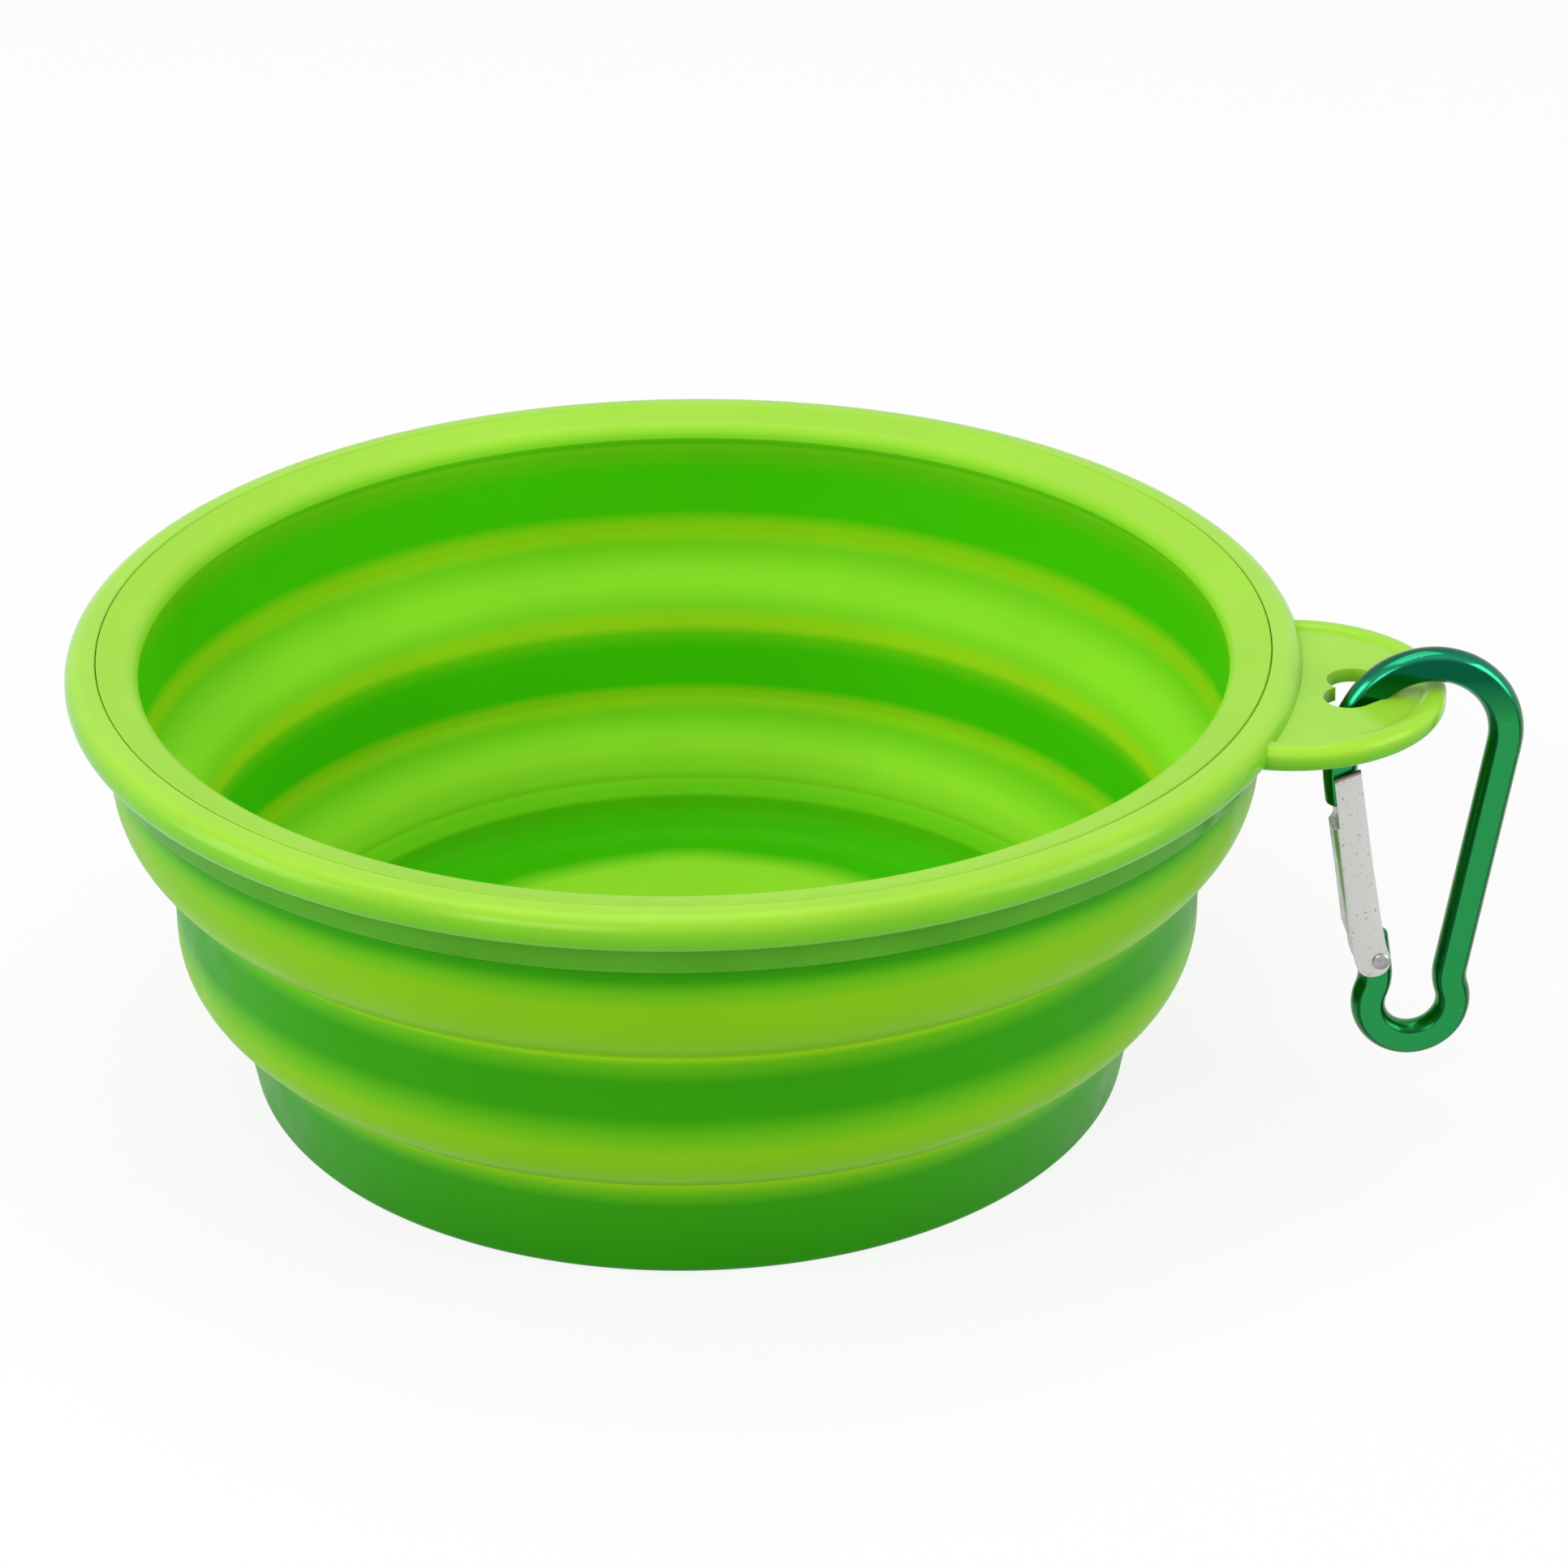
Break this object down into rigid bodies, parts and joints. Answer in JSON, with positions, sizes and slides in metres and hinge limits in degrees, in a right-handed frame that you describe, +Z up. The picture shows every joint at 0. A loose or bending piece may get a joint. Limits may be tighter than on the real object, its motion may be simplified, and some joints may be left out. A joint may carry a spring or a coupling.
{
  "type": "collapsible bowl",
  "caption": "Collapsible silicone travel bowl with stepped folding walls, a hard rim ring with a round lug and heart-shaped hole, and a small snap-gate carabiner hanging from the lug.",
  "frame": {"origin": "centre of the flat foot, on the surface the bowl stands on", "axes": "+Z up along the bowl's axis, +X out through the middle of the lug"},
  "size_m": [0.1523, 0.13, 0.0541],
  "materials": {
    "silicone": "smooth satin silicone",
    "rim_plastic": "glossy moulded plastic",
    "clamp_plastic": "glossy moulded plastic",
    "anodised": "glossy green anodised",
    "sheet_steel": "satin pressed sheet"
  },
  "bodies": {
    "bowl_base": {"base_cup": "silicone", "lower_fold": "silicone"},
    "middle_tier": {"middle_band": "silicone", "upper_fold": "silicone"},
    "rim_tier": {"top_wall": "silicone", "rim_ring": "rim_plastic", "clamp_ring": "clamp_plastic"},
    "carabiner": {"carabiner_body": "anodised"},
    "gate": {"carabiner_gate": "sheet_steel", "gate_rivet": "sheet_steel", "gate_spring": "sheet_steel"}
  },
  "joints": [
    {"name": "lower_fold_slide", "type": "slide", "parent": "bowl_base", "child": "middle_tier", "axis": [0, 0, 1], "range_m": [-0.016, 0], "deforming": ["lower_fold"]},
    {"name": "upper_fold_slide", "type": "slide", "parent": "middle_tier", "child": "rim_tier", "axis": [0, 0, 1], "range_m": [-0.0185, 0], "deforming": ["upper_fold"]},
    {"name": "carabiner_swing", "type": "hinge", "parent": "rim_tier", "child": "carabiner", "pos_m": [0.0771, 0.0001, 0.044], "axis": [0.2504, -0.9681, 0], "range_deg": [-18, 95]},
    {"name": "gate_hinge", "type": "hinge", "parent": "carabiner", "child": "gate", "pos_m": [0.07441, -0.0006, 0.01855], "axis": [-0.2504, 0.9681, 0], "range_deg": [0, 30], "stiffness_Nm_per_rad": 0.02, "springref_deg": -28.65, "deforming": ["gate_spring"]}
  ]
}
